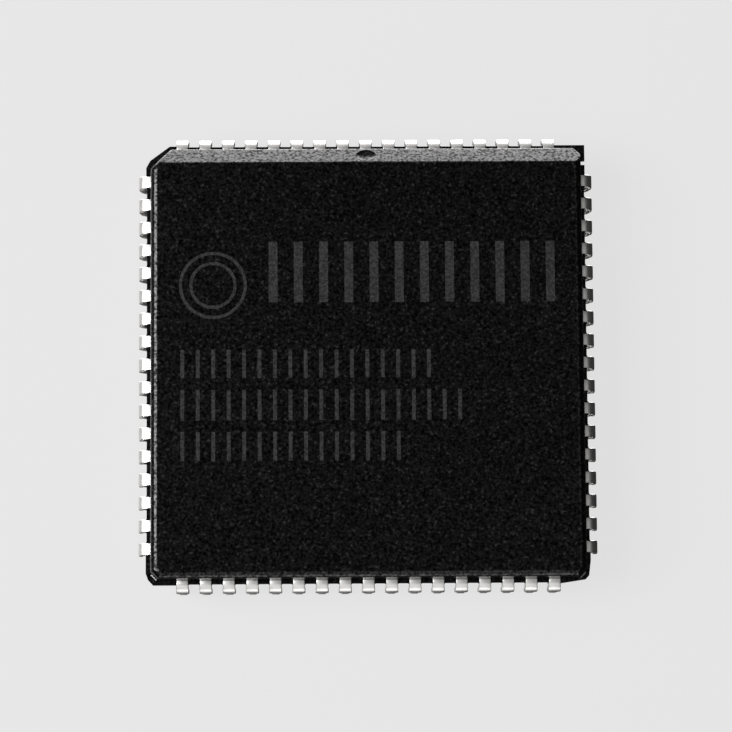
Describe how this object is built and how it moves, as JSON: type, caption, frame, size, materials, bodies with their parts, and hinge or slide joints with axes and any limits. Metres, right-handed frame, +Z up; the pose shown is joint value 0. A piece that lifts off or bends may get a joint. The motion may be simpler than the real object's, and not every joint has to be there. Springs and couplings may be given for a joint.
{
  "type": "plcc chip",
  "caption": "Square J-lead surface-mount chip carrier in a black epoxy moulding, with a bevelled and dimpled pin 1 edge and an index corner.",
  "frame": {"origin": "middle of the seating plane that the leads stand on, under the middle of the moulding", "axes": "+Z up out of the board, +Y to the edge with the pin 1 bevel, +X to the right as seen from above"},
  "size_m": [0.0252, 0.0252, 0.0044],
  "materials": {
    "moulding": "matte black moulded epoxy, spark-eroded grain",
    "lead_metal": "matte tin plating on copper alloy",
    "silicon": "polished silicon",
    "die_glue": "silver-filled epoxy"
  },
  "bodies": {
    "root": {"moulded_body": "moulding", "die_paddle": "lead_metal", "silicon_die": "silicon", "die_attach": "die_glue", "lead_03": "lead_metal", "lead_04": "lead_metal", "lead_05": "lead_metal", "lead_06": "lead_metal", "lead_07": "lead_metal", "lead_08": "lead_metal", "lead_09": "lead_metal", "lead_10": "lead_metal", "lead_11": "lead_metal", "lead_12": "lead_metal", "lead_13": "lead_metal", "lead_14": "lead_metal", "lead_15": "lead_metal", "lead_16": "lead_metal", "lead_20": "lead_metal", "lead_21": "lead_metal", "lead_22": "lead_metal", "lead_23": "lead_metal", "lead_24": "lead_metal", "lead_25": "lead_metal", "lead_26": "lead_metal", "lead_27": "lead_metal", "lead_28": "lead_metal", "lead_29": "lead_metal", "lead_30": "lead_metal", "lead_31": "lead_metal", "lead_32": "lead_metal", "lead_33": "lead_metal", "lead_37": "lead_metal", "lead_38": "lead_metal", "lead_39": "lead_metal", "lead_40": "lead_metal", "lead_41": "lead_metal", "lead_42": "lead_metal", "lead_43": "lead_metal", "lead_44": "lead_metal", "lead_45": "lead_metal", "lead_46": "lead_metal", "lead_47": "lead_metal", "lead_48": "lead_metal", "lead_49": "lead_metal", "lead_50": "lead_metal", "lead_54": "lead_metal", "lead_55": "lead_metal", "lead_56": "lead_metal", "lead_57": "lead_metal", "lead_58": "lead_metal", "lead_59": "lead_metal", "lead_60": "lead_metal", "lead_61": "lead_metal", "lead_62": "lead_metal", "lead_63": "lead_metal", "lead_64": "lead_metal", "lead_65": "lead_metal", "lead_66": "lead_metal", "lead_67": "lead_metal"}
  },
  "joints": []
}
